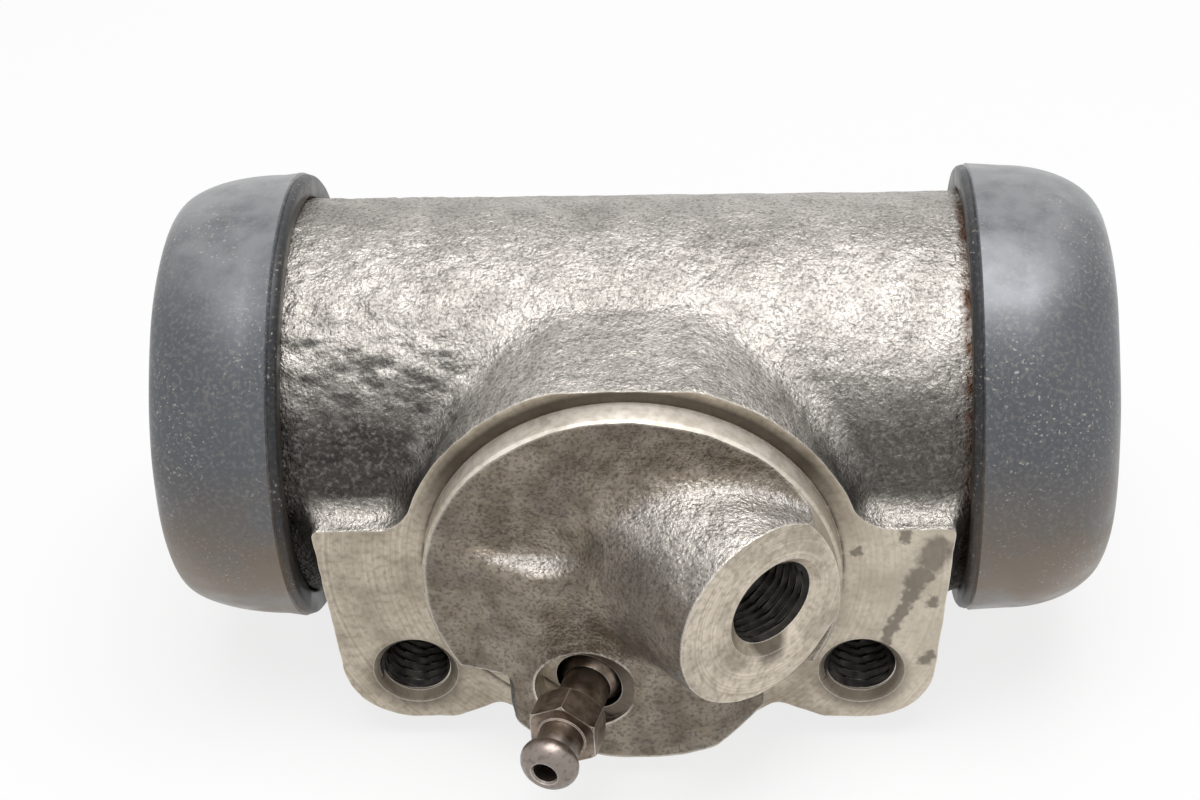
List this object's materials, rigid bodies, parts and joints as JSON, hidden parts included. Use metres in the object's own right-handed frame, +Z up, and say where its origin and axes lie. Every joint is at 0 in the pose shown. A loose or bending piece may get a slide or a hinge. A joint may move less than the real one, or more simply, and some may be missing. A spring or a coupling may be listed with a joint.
{
  "type": "wheel cylinder",
  "caption": "Hydraulic drum-brake wheel cylinder: cast-iron body with mounting flange, opposed pistons under rubber dust boots, angled inlet port and bleeder screw",
  "frame": {"origin": "Centre of the pilot, in the plane of the machined mounting face", "axes": "+X along the bore toward the inlet side, -Y out of the mounting face toward the backing plate, +Z up as pictured"},
  "size_m": [0.102, 0.0685, 0.0529],
  "materials": {
    "casting": "sand-cast, with machined faces",
    "boot_rubber": "moulded, satin",
    "piston_alloy": "turned",
    "cup_rubber": "moulded, smooth",
    "spring_steel": "drawn and pressed",
    "bleeder_steel": "turned, oxidised"
  },
  "bodies": {
    "cylinder": {"cylinder_body": "casting", "boot_left": "boot_rubber", "boot_right": "boot_rubber", "return_spring": "spring_steel"},
    "left_piston": {"piston_left": "piston_alloy", "cup_left": "cup_rubber", "cup_expander_left": "spring_steel"},
    "right_piston": {"piston_right": "piston_alloy", "cup_right": "cup_rubber", "cup_expander_right": "spring_steel"},
    "bleeder": {"bleeder_screw": "bleeder_steel"}
  },
  "joints": [
    {"name": "left_piston_slide", "type": "slide", "parent": "cylinder", "child": "left_piston", "axis": [-1, 0, 0], "range_m": [-0.006, 0.008], "deforming": ["return_spring"]},
    {"name": "right_piston_slide", "type": "slide", "parent": "cylinder", "child": "right_piston", "axis": [1, 0, 0], "range_m": [-0.006, 0.008], "deforming": ["return_spring"]},
    {"name": "bleeder_turn", "type": "hinge", "parent": "cylinder", "child": "bleeder", "pos_m": [-0.0052, -0.0062, -0.0114], "axis": [-0.2756, -0.9613, 0], "range_deg": [0, 270]}
  ]
}
